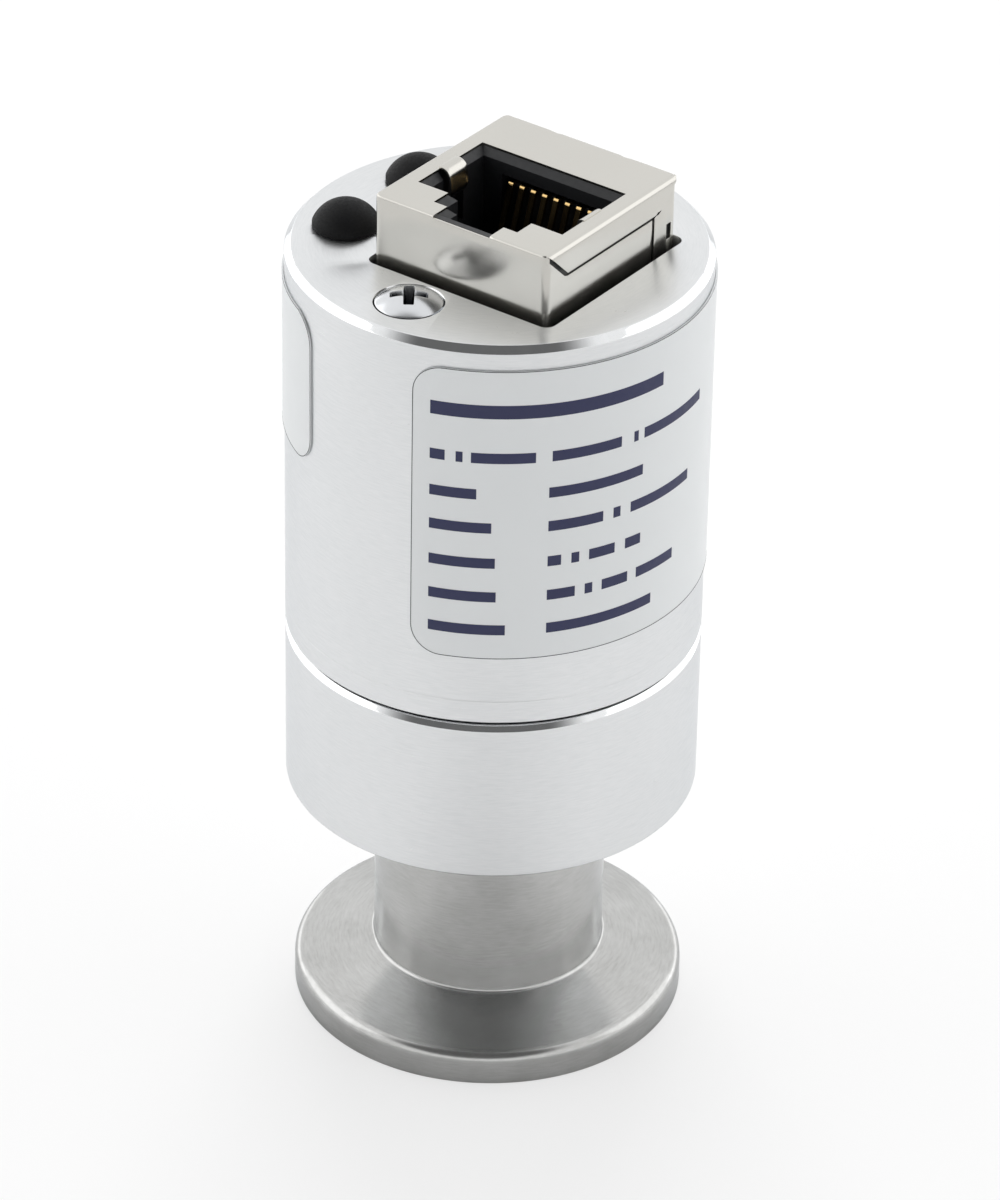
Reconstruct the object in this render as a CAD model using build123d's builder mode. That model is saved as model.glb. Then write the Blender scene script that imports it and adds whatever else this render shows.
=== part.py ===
from build123d import *
import os
from math import cos, hypot, radians, sin, tan

os.makedirs("parts", exist_ok=True)

# Vacuum transmitter on a small flange. Millimetres, +Z up along the turned axis.
# The origin is the centre of the flange's sealing face, on which it stands.
# X and Y run along the sides of the modular jack, and the cover screw is on the -Y side.

# Small flange, nominal size 16
flange_diameter = 30.0
flange_rim_height = 2.5
flange_cone_angle = 15.0
flange_rim_chamfer = 0.2
recess_diameter = 17.2
recess_depth = 2.9
neck_diameter = 17.7
neck_root_chamfer = 0.4
vacuum_bore_diameter = 15.0
neck_height = 19.6

# Threaded spigot on the neck, which passes through the base ring's floor
spigot_diameter = 14.8
spigot_height = 7.5
sensor_bore_diameter = 10.4
sensor_shelf_height = 1.6
header_diameter = 12.4
header_thickness = 1.5

# Sensor header, pins and heated wire
pin_count = 4
pin_radius = 0.3
pin_circle_radius = 3.2
pin_overlap = 4.2
glass_wall = 0.6
filament_radius = 0.1
filament_rise = 0.5
bead_radius = 0.6
bead_length = 3.0
bead_chamfer = 0.25
bead_lead_radius = 0.15
bead_rise = 3.5

# Base ring
base_height = 12.85
base_floor = 2.5
base_chamfer = 0.3
register_wall = 0.7
register_height = 4.05
register_clearance = 0.05
groove_height = 0.8
groove_depth = 0.65
groove_chamfer = 0.12
neck_hole_clearance = 0.05

# Ring nut on the spigot
nut_wall = 1.0
nut_height = 3.0
nut_slot_count = 4
nut_slot_width = 1.6
nut_slot_depth = 1.0
nut_slot_reach = 0.8

# Housing cap
cap_height = 31.45
cap_wall = 1.5
cap_roof = 2.0
cap_chamfer = 0.5

# Modular jack: the folded shield, the moulded insert and the plug's cavity
jack_x = 2.0
jack_y = 0.45
jack_width = 15.6
jack_length = 15.9
jack_height = 13.65
jack_stand_out = 5.15
jack_corner_gap = 1.25
shield_sheet = 0.2
shield_bend = 0.5
flap_drop = 2.1
flap_length = 12.9
seam_width = 0.25
seam_from_back = 2.9
slot_width = 0.55
slot_height = 1.25
slot_drop = 3.6
slot_from_back = 0.95
nick_width = 0.3
nick_depth = 0.15
nick_pitch = 6.2
mouth_width = 12.8
mouth_back = 3.2
mouth_front = 4.55
step_width = 7.4
step_depth = 1.7
notch_width = 5.0
lead_in = 0.5
cavity_depth = 11.8
notch_end_wall = 0.45
finger_width = 2.1
finger_y = -0.95
finger_roll = 0.7
finger_bend = 0.45
finger_drop = 4.0
finger_lean = 0.3
finger_kick = 0.9
finger_gap = 0.15

# Contact wires and their carrier
contact_count = 8
contact_pitch = 1.016
contact_width = 0.4
contact_thickness = 0.3
contact_drop = 2.3
contact_lean = 2.3
contact_length = 6.6
contact_tail = 1.3
chamber_back_wall = 0.65
chamber_gap = 0.1
rim_drop = 1.5

# Cut-out for the jack in the roof, a little larger than the shield and off its centre
cutout_gap_x = 0.4
cutout_gap_y = 0.5
cutout_shift_x = 0.2
cutout_shift_y = -0.3
cutout_corner = 0.8

# Rubber plugs over the two trimmers
plug_x = -10.3
plug_y = -0.5
plug_pitch = 8.8
plug_head_radius = 2.5
plug_head_height = 2.0
plug_skirt = 0.35
plug_stem_radius = 1.6
plug_bulb_radius = 1.9
plug_bulb_height = 0.9
plug_tip_radius = 1.1

# Trimmers
trimmer_side = 3.8
trimmer_height = 3.8
trimmer_chamfer = 0.2
rotor_radius = 1.2
rotor_clearance = 0.05
rotor_length = 2.0
rotor_stand_out = 0.4
rotor_slot_length = 2.0
rotor_slot_width = 0.5
rotor_slot_depth = 0.5

# Cover screw and the pillar that it goes into
screw_angle = -89.0
screw_head_radius = 2.5
screw_head_rise = 0.75
screw_sink_gap = 0.08
screw_radius = 1.25
screw_length = 7.0
screw_hole_clearance = 0.1
recess_turn = 36.0
recess_width = 0.62
recess_span = 2.7
recess_drop = 1.3
pillar_across = 4.0
pillar_wall_gap = 0.25
stud_depth = 1.8

# Boards and what holds them
board_thickness = 1.6
board_gap = 0.4
spacer_angles = (90.0, 240.0, 300.0)
spacer_radius = 1.5
spacer_stud_radius = 0.9
spacer_wall_gap = 0.3
spacer_head_height = 1.2
screw_slot_width = 0.4
screw_slot_depth = 0.6
spacer_socket_depth = 2.4

# Parts on the boards
socket_wall = 1.1
socket_height = 8.5
socket_pin_clearance = 0.05
link_x = -10.5
link_pitch = 2.54
link_pins = 5
link_base = 2.5
link_pin_side = 0.64
chip_size = (4.9, 3.9, 1.5)
chip_foot_pitch = 1.27
chip_span = 6.0
foot_size = 0.4
chip_places = ((4.0, 4.0), (4.0, -3.6))
regulator_size = (6.6, 6.1, 2.3)
regulator_tab = 5.3
regulator_place = (-3.6, 4.2)
capacitor_radius = 2.5
capacitor_height = 5.4
capacitor_base = 0.6
capacitor_side = 5.3
capacitor_places = ((-4.0, -2.6), (9.6, 0.3))

# Foil labels on the cap
label_thickness = 0.12
label_glue = 0.025
label_corner = 2.3
main_label_start_angle = -76.4
main_label_sweep_angle = 167.0
main_label_top_gap = 1.8
main_label_height = 24.0
side_label_end_angle = -112.4
side_label_sweep_angle = 88.0
side_label_top_gap = 2.2
side_label_height = 12.2

# Radii and heights that follow from the sizes above
cap_bore_radius = hypot(jack_x + jack_width / 2, jack_y + jack_length / 2) + jack_corner_gap
body_radius = cap_bore_radius + cap_wall
register_radius = cap_bore_radius - register_clearance
base_bore_radius = register_radius - register_wall
board_radius = cap_bore_radius - board_gap
spigot_radius = spigot_diameter / 2
base_floor_top = neck_height + base_floor
base_top = neck_height + base_height
cap_bottom = base_top + groove_height
cap_top = cap_bottom + cap_height
roof_bottom = cap_top - cap_roof
sensor_board_bottom = cap_bottom + register_height
sensor_board_top = sensor_board_bottom + board_thickness
jack_top = cap_top + jack_stand_out
jack_board_top = jack_top - jack_height
jack_board_bottom = jack_board_top - board_thickness
spigot_top = neck_height + spigot_height
header_bottom = spigot_top - header_thickness
vacuum_bore_top = neck_height - base_floor
pin_tip = vacuum_bore_top + filament_rise
bead_height = pin_tip + bead_rise
pin_top = sensor_board_bottom - socket_height + pin_overlap

# Places that follow from them
screw_circle = base_bore_radius - pillar_across / 2 - pillar_wall_gap
screw_x = screw_circle * cos(radians(screw_angle))
screw_y = screw_circle * sin(radians(screw_angle))
spacer_circle = base_bore_radius - spacer_radius - spacer_wall_gap
spacer_places = [
    (spacer_circle * cos(radians(angle)), spacer_circle * sin(radians(angle)))
    for angle in spacer_angles
]
plug_places = {
    "zero": (plug_x, plug_y - plug_pitch / 2),
    "span": (plug_x, plug_y + plug_pitch / 2),
}
shield_width = jack_width - shield_sheet
shield_x = jack_x - shield_sheet / 2
shield_right = jack_x + jack_width / 2 - shield_sheet
shield_back = jack_y + jack_length / 2
insert_width = shield_width - 2 * shield_sheet
insert_length = jack_length - 2 * shield_sheet
insert_top = jack_top - shield_sheet
chamber_depth = insert_length / 2 - mouth_back - chamber_back_wall
carrier_depth = chamber_depth - contact_thickness - 2 * chamber_gap
carrier_back = jack_y + mouth_back + chamber_gap + carrier_depth
contact_top = jack_top - contact_drop
contact_places = [
    jack_x + (i - (contact_count - 1) / 2) * contact_pitch for i in range(contact_count)
]


def save(piece, name):
    """Labels a finished piece and writes it to its own file."""
    piece.part.label = name
    export_step(piece.part, f"parts/{name}.step")


def mouth_outline(inset, front_reach):
    """The stepped outline of the plug's mouth, drawn in from its edge by inset."""
    half = mouth_width / 2 - inset
    step = step_width / 2 - inset
    notch = notch_width / 2 - inset
    back = mouth_back - inset
    front = -mouth_front + inset
    shelf = front - step_depth
    right = [(half, back), (half, front), (step, front), (step, shelf), (notch, shelf)]
    right.append((notch, -front_reach))
    return right + [(-x, y) for x, y in reversed(right)]


# Flange, neck and spigot, turned as one piece
cone_rise = (flange_diameter - neck_diameter) / 2 * tan(radians(flange_cone_angle))
cone_top = flange_rim_height + cone_rise
shelf_bottom = header_bottom - sensor_shelf_height
with BuildPart() as flange:
    with BuildSketch(Plane.XZ):
        Polygon(
            (recess_diameter / 2, 0),
            (flange_diameter / 2, 0),
            (flange_diameter / 2, flange_rim_height),
            (neck_diameter / 2, cone_top),
            (neck_diameter / 2, neck_height),
            (spigot_radius, neck_height),
            (spigot_radius, spigot_top),
            (header_diameter / 2, spigot_top),
            (header_diameter / 2, header_bottom),
            (sensor_bore_diameter / 2, header_bottom),
            (sensor_bore_diameter / 2, shelf_bottom - (vacuum_bore_diameter - sensor_bore_diameter) / 2),
            (vacuum_bore_diameter / 2, vacuum_bore_top),
            (vacuum_bore_diameter / 2, recess_depth),
            (recess_diameter / 2, recess_depth),
            align=None,
        )
    revolve(axis=Axis.Z)
    outer = flange.edges().filter_by(GeomType.CIRCLE)
    chamfer(outer.filter_by(lambda e: abs(e.radius - flange_diameter / 2) < 0.01), flange_rim_chamfer)
    roots = flange.edges().filter_by(GeomType.CIRCLE)
    roots = roots.filter_by(lambda e: abs(e.radius - neck_diameter / 2) < 0.01)
    chamfer(roots.sort_by(Axis.Z)[0], neck_root_chamfer)
save(flange, "flange")

# Header disc that closes the vacuum side
pin_places = PolarLocations(pin_circle_radius, pin_count)
with BuildPart() as sensor_header:
    with BuildSketch(Plane.XY.offset(header_bottom)):
        Circle(header_diameter / 2)
        with PolarLocations(pin_circle_radius, pin_count):
            Circle(pin_radius + glass_wall, mode=Mode.SUBTRACT)
    extrude(amount=header_thickness)
save(sensor_header, "sensor_header")

# Glass seals and the pins that stand in them
for i, place in enumerate(pin_places.locations, start=1):
    x, y, _ = place.position
    with BuildPart() as header_glass:
        with BuildSketch(Plane.XY.offset(header_bottom)):
            with Locations((x, y)):
                Circle(pin_radius + glass_wall)
                Circle(pin_radius, mode=Mode.SUBTRACT)
        extrude(amount=header_thickness)
    save(header_glass, f"header_glass_{i}")
    with BuildPart() as header_pin:
        with BuildSketch(Plane.XY.offset(pin_tip)):
            with Locations((x, y)):
                Circle(pin_radius)
        extrude(amount=pin_top - pin_tip)
    save(header_pin, f"header_pin_{i}")

# Heated wire between the tips of two pins, and the compensation bead between the others
wire_half = pin_circle_radius - pin_radius
with BuildPart() as filament:
    with BuildSketch(Plane.YZ):
        with Locations((0, pin_tip + 2 * filament_radius)):
            Circle(filament_radius)
    extrude(amount=wire_half, both=True)
save(filament, "filament")

with BuildPart() as temperature_sensor:
    with BuildSketch(Plane.XZ):
        with Locations((0, bead_height)):
            Circle(bead_radius)
    extrude(amount=bead_length / 2, both=True)
    chamfer(temperature_sensor.edges().filter_by(GeomType.CIRCLE), bead_chamfer)
    with BuildSketch(Plane.XZ):
        with Locations((0, bead_height)):
            Circle(bead_lead_radius)
    extrude(amount=wire_half, both=True)
save(temperature_sensor, "temperature_sensor")

# Base ring: floor, wall, the step that shows in the groove, and the register for the cap
with BuildPart() as base_ring:
    with BuildSketch(Plane.XZ):
        Polygon(
            (spigot_radius + neck_hole_clearance, neck_height),
            (body_radius, neck_height),
            (body_radius, base_top),
            (body_radius - groove_depth, base_top),
            (body_radius - groove_depth, cap_bottom),
            (register_radius, cap_bottom),
            (register_radius, sensor_board_bottom),
            (base_bore_radius, sensor_board_bottom),
            (base_bore_radius, base_floor_top),
            (spigot_radius + neck_hole_clearance, base_floor_top),
            align=None,
        )
    revolve(axis=Axis.Z)
    rims = base_ring.edges().filter_by(GeomType.CIRCLE)
    rims = rims.filter_by(lambda e: abs(e.radius - body_radius) < 0.01).sort_by(Axis.Z)
    chamfer(rims[0], base_chamfer)
    chamfer(rims[-1], groove_chamfer)
    with BuildSketch(Plane.XY.offset(base_floor_top)):
        with Locations((screw_x, screw_y)):
            Circle(screw_radius)
        with Locations(*spacer_places):
            Circle(spacer_stud_radius)
    extrude(amount=-stud_depth, mode=Mode.SUBTRACT)
save(base_ring, "base_ring")

# Ring nut with spanner slots
with BuildPart() as neck_nut:
    with BuildSketch(Plane.XY.offset(base_floor_top)):
        Circle(spigot_radius + nut_wall)
        Circle(spigot_radius, mode=Mode.SUBTRACT)
    extrude(amount=nut_height)
    with BuildSketch(Plane.XY.offset(base_floor_top + nut_height)):
        with PolarLocations(spigot_radius + nut_wall, nut_slot_count, start_angle=45):
            Rectangle(2 * nut_slot_reach, nut_slot_width)
    extrude(amount=-nut_slot_depth, mode=Mode.SUBTRACT)
save(neck_nut, "neck_nut")

# Threaded pillar for the cover screw, with a stud into the base ring's floor
with BuildPart() as screw_pillar:
    with BuildSketch(Plane.XY.offset(base_floor_top)):
        with Locations((screw_x, screw_y)):
            RegularPolygon(pillar_across / 2, 6, major_radius=False, rotation=screw_angle + 30)
    extrude(amount=roof_bottom - base_floor_top)
    with BuildSketch(Plane.XY.offset(base_floor_top)):
        with Locations((screw_x, screw_y)):
            Circle(screw_radius)
    extrude(amount=-stud_depth)
    with BuildSketch(Plane.XY.offset(roof_bottom)):
        with Locations((screw_x, screw_y)):
            Circle(screw_radius)
    extrude(amount=-(screw_length - cap_roof), mode=Mode.SUBTRACT)
save(screw_pillar, "screw_pillar")

# Spacers: the lower ones stand on the base ring, the upper ones on the sensor board
spacer_runs = {
    "lower_spacer": (base_floor_top, sensor_board_bottom, stud_depth),
    "upper_spacer": (sensor_board_top, jack_board_bottom, board_thickness + stud_depth),
}
for run, (foot, head, stud) in spacer_runs.items():
    for i, place in enumerate(spacer_places, start=1):
        with BuildPart() as spacer:
            with BuildSketch(Plane.XY.offset(foot)):
                with Locations(place):
                    RegularPolygon(spacer_radius, 6)
            extrude(amount=head - foot)
            with BuildSketch(Plane.XY.offset(foot)):
                with Locations(place):
                    Circle(spacer_stud_radius)
            extrude(amount=-stud)
            with BuildSketch(Plane.XY.offset(head)):
                with Locations(place):
                    Circle(spacer_stud_radius)
            extrude(amount=-spacer_socket_depth, mode=Mode.SUBTRACT)
        save(spacer, f"{run}_{i}")

# Screws that hold the jack's board on the upper spacers
for i, place in enumerate(spacer_places, start=1):
    with BuildPart() as spacer_screw:
        with BuildSketch(Plane.XY.offset(jack_board_top)):
            with Locations(place):
                Circle(spacer_radius)
        extrude(amount=spacer_head_height)
        with BuildSketch(Plane.XY.offset(jack_board_top + spacer_head_height)):
            with Locations(place):
                Rectangle(2.2 * spacer_radius, screw_slot_width)
        extrude(amount=-screw_slot_depth, mode=Mode.SUBTRACT)
        with BuildSketch(Plane.XY.offset(jack_board_top)):
            with Locations(place):
                Circle(spacer_stud_radius)
        extrude(amount=-(board_thickness + stud_depth))
    save(spacer_screw, f"spacer_screw_{i}")

# Round boards, with holes for the spacers and a notch for the pillar
notch_across = pillar_across + 2 * board_gap
notch_reach = 2 * (board_radius - screw_circle) + notch_across
with BuildPart() as sensor_board:
    with BuildSketch(Plane.XY.offset(sensor_board_bottom)):
        Circle(board_radius)
        with Locations(*spacer_places):
            Circle(spacer_stud_radius, mode=Mode.SUBTRACT)
        with PolarLocations(screw_circle, 1, start_angle=screw_angle):
            Rectangle(notch_reach, notch_across, mode=Mode.SUBTRACT)
    extrude(amount=board_thickness)
save(sensor_board, "sensor_board")

with BuildPart() as jack_board:
    with BuildSketch(Plane.XY.offset(jack_board_bottom)):
        Circle(board_radius)
        with Locations(*spacer_places):
            Circle(spacer_stud_radius, mode=Mode.SUBTRACT)
        with PolarLocations(screw_circle, 1, start_angle=screw_angle):
            Rectangle(notch_reach, notch_across, mode=Mode.SUBTRACT)
        with Locations(*[(x, carrier_back + contact_thickness / 2) for x in contact_places]):
            Rectangle(contact_width, contact_thickness, mode=Mode.SUBTRACT)
    extrude(amount=board_thickness)
save(jack_board, "jack_board")

# Socket under the sensor board that takes the header's pins
socket_radius = pin_circle_radius + pin_radius + socket_wall
with BuildPart() as sensor_socket:
    with BuildSketch(Plane.XY.offset(sensor_board_bottom - socket_height)):
        Circle(socket_radius)
    extrude(amount=socket_height)
    with BuildSketch(Plane.XY.offset(sensor_board_bottom - socket_height)):
        with PolarLocations(pin_circle_radius, pin_count):
            Circle(pin_radius + socket_pin_clearance)
    extrude(amount=pin_overlap + socket_pin_clearance, mode=Mode.SUBTRACT)
save(sensor_socket, "sensor_socket")

# Pin header that joins the two boards
with BuildPart() as board_link:
    with BuildSketch(Plane.XY.offset(sensor_board_top)):
        with Locations((link_x, 0)):
            Rectangle(link_pitch, link_pins * link_pitch)
    extrude(amount=link_base)
    with BuildSketch(Plane.XY.offset(sensor_board_top + link_base)):
        with Locations((link_x, 0)):
            with GridLocations(0, link_pitch, 1, link_pins):
                Rectangle(link_pin_side, link_pin_side)
    extrude(amount=jack_board_bottom - sensor_board_top - link_base)
save(board_link, "board_link")

# Amplifier chips with their bent feet
chip_length, chip_width, chip_height = chip_size
for i, place in enumerate(chip_places, start=1):
    with BuildPart() as chip:
        with BuildSketch(Plane.XY.offset(sensor_board_top + foot_size / 4)):
            with Locations(place):
                Rectangle(chip_length, chip_width)
        extrude(amount=chip_height)
        chamfer(chip.edges().group_by(Axis.Z)[-1], foot_size / 2)
        with BuildSketch(Plane.XY.offset(sensor_board_top)):
            with Locations(place):
                with GridLocations(chip_foot_pitch, (chip_span + chip_width) / 2, 4, 2):
                    Rectangle(foot_size, (chip_span - chip_width) / 2)
        extrude(amount=foot_size)
    save(chip, f"amplifier_chip_{i}")

# Voltage regulator on its cooling tab
with BuildPart() as regulator:
    length, width, height = regulator_size
    with BuildSketch(Plane.XY.offset(sensor_board_top)):
        with Locations(regulator_place):
            Rectangle(length, width)
    extrude(amount=height)
    chamfer(regulator.edges().group_by(Axis.Z)[-1], foot_size)
    with BuildSketch(Plane.XY.offset(sensor_board_top)):
        with Locations((regulator_place[0], regulator_place[1] + width / 2)):
            Rectangle(regulator_tab, height)
    extrude(amount=foot_size)
save(regulator, "regulator")

# Can capacitors on their square bases
for i, place in enumerate(capacitor_places, start=1):
    with BuildPart() as capacitor:
        with BuildSketch(Plane.XY.offset(sensor_board_top)):
            with Locations(place):
                Rectangle(capacitor_side, capacitor_side)
        extrude(amount=capacitor_base)
        chamfer(capacitor.edges().filter_by(Axis.Z), capacitor_base)
        with BuildSketch(Plane.XY.offset(sensor_board_top + capacitor_base)):
            with Locations(place):
                Circle(capacitor_radius)
        extrude(amount=capacitor_height - capacitor_base)
    save(capacitor, f"filter_capacitor_{i}")

# Housing cap: a cup turned upside down, with its openings in the roof
with BuildPart() as housing_cap:
    with BuildSketch(Plane.XY.offset(cap_bottom)):
        Circle(body_radius)
    extrude(amount=cap_height)
    with BuildSketch(Plane.XY.offset(cap_bottom)):
        Circle(cap_bore_radius)
    extrude(amount=cap_height - cap_roof, mode=Mode.SUBTRACT)
    rims = housing_cap.edges().filter_by(GeomType.CIRCLE)
    rims = rims.filter_by(lambda e: abs(e.radius - body_radius) < 0.01).sort_by(Axis.Z)
    chamfer(rims[0], groove_chamfer)
    chamfer(rims[-1], cap_chamfer)
    with BuildSketch(Plane.XY.offset(roof_bottom)):
        with Locations((jack_x + cutout_shift_x, jack_y + cutout_shift_y)):
            RectangleRounded(jack_width + 2 * cutout_gap_x, jack_length + 2 * cutout_gap_y, cutout_corner)
        with Locations(*plug_places.values()):
            Circle(plug_stem_radius)
    extrude(amount=cap_roof, mode=Mode.SUBTRACT)
    with Locations((screw_x, screw_y, cap_top)):
        CounterSinkHole(
            screw_radius + screw_hole_clearance,
            screw_head_radius + screw_sink_gap,
            depth=cap_roof,
            counter_sink_angle=90,
        )
save(housing_cap, "housing_cap")

# Raised countersunk screw with a cross recess
head_depth = screw_head_radius - screw_radius
dome_radius = (screw_head_radius**2 + screw_head_rise**2) / (2 * screw_head_rise)
screw_axis = Plane(origin=(screw_x, screw_y, cap_top), x_dir=(1, 0, 0), z_dir=(0, -1, 0))
with BuildPart() as cover_screw:
    with BuildSketch(screw_axis):
        with BuildLine():
            Polyline(
                (0, screw_head_rise),
                (0, -screw_length),
                (screw_radius, -screw_length),
                (screw_radius, -head_depth),
                (screw_head_radius, 0),
            )
            RadiusArc((screw_head_radius, 0), (0, screw_head_rise), -dome_radius)
        make_face()
    revolve(axis=Axis((screw_x, screw_y, 0), (0, 0, 1)))
    with BuildSketch(Plane.XY.offset(cap_top + screw_head_rise)):
        with Locations((screw_x, screw_y)):
            Rectangle(recess_span, recess_width, rotation=recess_turn)
            Rectangle(recess_width, recess_span, rotation=recess_turn)
    extrude(amount=-recess_drop, taper=12, mode=Mode.SUBTRACT)
save(cover_screw, "cover_screw")

# Rubber plugs: a domed head on the roof, a stem in its hole and a bulb that holds it
crown = plug_head_height - plug_skirt
crown_radius = (plug_head_radius**2 + crown**2) / (2 * crown)
for name, (x, y) in plug_places.items():
    with BuildPart() as plug:
        with BuildSketch(Plane(origin=(x, y, cap_top), x_dir=(1, 0, 0), z_dir=(0, -1, 0))):
            with BuildLine():
                Polyline(
                    (0, plug_head_height),
                    (0, -cap_roof - plug_bulb_height),
                    (plug_tip_radius, -cap_roof - plug_bulb_height),
                    (plug_bulb_radius, -cap_roof),
                    (plug_stem_radius, -cap_roof),
                    (plug_stem_radius, 0),
                    (plug_head_radius, 0),
                    (plug_head_radius, plug_skirt),
                )
                RadiusArc((plug_head_radius, plug_skirt), (0, plug_head_height), -crown_radius)
            make_face()
        revolve(axis=Axis((x, y, 0), (0, 0, 1)))
    save(plug, f"plug_{name}")

# Trimmers under the plugs: a body turned to face the axis, and a rotor in its pocket
for name, (x, y) in plug_places.items():
    trimmer_top = jack_board_top + trimmer_height
    with BuildPart() as trimmer_body:
        with BuildSketch(Plane.XY.offset(jack_board_top)):
            with Locations((x, y)):
                Rectangle(trimmer_side, trimmer_side, rotation=Vector(x, y).get_signed_angle(Vector(1, 0)))
        extrude(amount=trimmer_height)
        chamfer(trimmer_body.edges().group_by(Axis.Z)[-1], trimmer_chamfer)
        with BuildSketch(Plane.XY.offset(trimmer_top)):
            with Locations((x, y)):
                Circle(rotor_radius + rotor_clearance)
        extrude(amount=-(rotor_length - rotor_stand_out + rotor_clearance), mode=Mode.SUBTRACT)
    save(trimmer_body, f"trimmer_body_{name}")
    with BuildPart() as trimmer_rotor:
        with BuildSketch(Plane.XY.offset(trimmer_top + rotor_stand_out)):
            with Locations((x, y)):
                Circle(rotor_radius)
        extrude(amount=-rotor_length)
        with BuildSketch(Plane.XY.offset(trimmer_top + rotor_stand_out)):
            with Locations((x, y)):
                Rectangle(rotor_slot_length, rotor_slot_width)
        extrude(amount=-rotor_slot_depth, mode=Mode.SUBTRACT)
    save(trimmer_rotor, f"trimmer_rotor_{name}")

# Shield: the folded can, its mouth, its side flap and its two spring fingers
finger_half = mouth_width / 2
finger_elbow = (finger_half - finger_roll - finger_lean, finger_kick - finger_drop)
finger_path = [
    (finger_half, 0),
    (finger_half - finger_roll, 0),
    finger_elbow,
    (finger_elbow[0] + finger_kick / 2, -finger_drop),
]
with BuildPart() as jack_shield:
    with BuildSketch(Plane.XY.offset(jack_board_top)):
        with Locations((shield_x, jack_y)):
            RectangleRounded(shield_width, jack_length, shield_bend)
    extrude(amount=jack_height)
    fillet(jack_shield.faces().sort_by(Axis.Z)[-1].edges(), shield_sheet)
    with BuildSketch(Plane.XY.offset(jack_board_top)):
        with Locations((shield_x, jack_y)):
            RectangleRounded(insert_width, insert_length, shield_bend - shield_sheet)
    extrude(amount=jack_height - shield_sheet, mode=Mode.SUBTRACT)
    with BuildSketch(Plane.XY.offset(jack_top)):
        with Locations((jack_x, jack_y)):
            Polygon(*mouth_outline(0, jack_length / 2), align=None)
        with Locations((jack_x, shield_back)):
            with GridLocations(nick_pitch, 0, 2, 1):
                Rectangle(nick_width, 2 * nick_depth)
    extrude(amount=-1.5 * shield_sheet, mode=Mode.SUBTRACT)
    with BuildSketch(Plane.YZ.offset(shield_right - 2 * shield_sheet)):
        with Locations((shield_back - seam_from_back, jack_board_top)):
            Rectangle(seam_width, jack_height - flap_drop, align=(Align.CENTER, Align.MIN))
        with Locations((shield_back - slot_from_back, jack_top - slot_drop)):
            Rectangle(slot_width, slot_height, align=(Align.CENTER, Align.MAX))
    extrude(amount=3 * shield_sheet, mode=Mode.SUBTRACT)
    flap_front = jack_y - jack_length / 2 + shield_bend / 2
    flap_back = flap_front + flap_length + 2 * flap_drop
    with BuildSketch(Plane.YZ.offset(shield_right)):
        Polygon(
            (flap_front, jack_top - shield_sheet / 2),
            (flap_front + flap_drop, jack_top - flap_drop),
            (flap_back - 2 * flap_drop, jack_top - flap_drop),
            (shield_back - shield_bend, jack_top - shield_sheet / 2),
            align=None,
        )
    extrude(amount=shield_sheet)
    for side in (-1, 1):
        with BuildSketch(Plane(
            origin=(jack_x, jack_y + finger_y, jack_top - shield_sheet / 2),
            x_dir=(side, 0, 0),
            z_dir=(0, -side, 0),
        )):
            with BuildLine():
                FilletPolyline(*finger_path, radius=finger_bend)
            trace(line_width=shield_sheet)
        extrude(amount=finger_width / 2, both=True)
save(jack_shield, "jack_shield")

# Insert: the moulded block with the plug's cavity, its latch steps and the contact chamber
with BuildPart() as jack_body:
    with BuildSketch(Plane.XY.offset(jack_board_top)):
        with Locations((shield_x, jack_y)):
            RectangleRounded(insert_width, insert_length, shield_bend - shield_sheet)
    extrude(amount=insert_top - jack_board_top)
    front_reach = insert_length / 2 - notch_end_wall
    with BuildSketch(Plane.XY.offset(insert_top)):
        with Locations((jack_x, jack_y)):
            Polygon(*mouth_outline(0, front_reach), align=None)
    with BuildSketch(Plane.XY.offset(insert_top - lead_in)):
        with Locations((jack_x, jack_y)):
            Polygon(*mouth_outline(lead_in, front_reach), align=None)
    loft(mode=Mode.SUBTRACT)
    with BuildSketch(Plane.XY.offset(insert_top - lead_in)):
        with Locations((jack_x, jack_y)):
            Polygon(*mouth_outline(lead_in, front_reach), align=None)
    extrude(amount=-(cavity_depth - lead_in), mode=Mode.SUBTRACT)
    with BuildSketch(Plane.XY.offset(insert_top)):
        with Locations((jack_x, jack_y + finger_y)):
            Rectangle(mouth_width + 2 * finger_gap, finger_width + 2 * finger_gap)
    extrude(amount=-(finger_drop + finger_roll), mode=Mode.SUBTRACT)
    chamber_width = contact_count * contact_pitch + contact_width
    with BuildSketch(Plane.XY.offset(jack_board_top)):
        with Locations((jack_x, jack_y + mouth_back - lead_in)):
            Rectangle(chamber_width, chamber_depth + lead_in, align=(Align.CENTER, Align.MIN))
    extrude(amount=insert_top - rim_drop - jack_board_top, mode=Mode.SUBTRACT)
save(jack_body, "jack_body")

# Carrier block that the contact wires are bent over
carrier_top = contact_top - contact_thickness / 2
with BuildPart() as contact_carrier:
    with BuildSketch(Plane.XY.offset(jack_board_top)):
        with Locations((jack_x, carrier_back)):
            Rectangle(chamber_width - 2 * chamber_gap, carrier_depth, align=(Align.CENTER, Align.MAX))
    extrude(amount=carrier_top - jack_board_top)
    chamfer(contact_carrier.edges().group_by(Axis.Z)[-1].filter_by(Axis.X), contact_thickness / 2)
save(contact_carrier, "contact_carrier")

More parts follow.
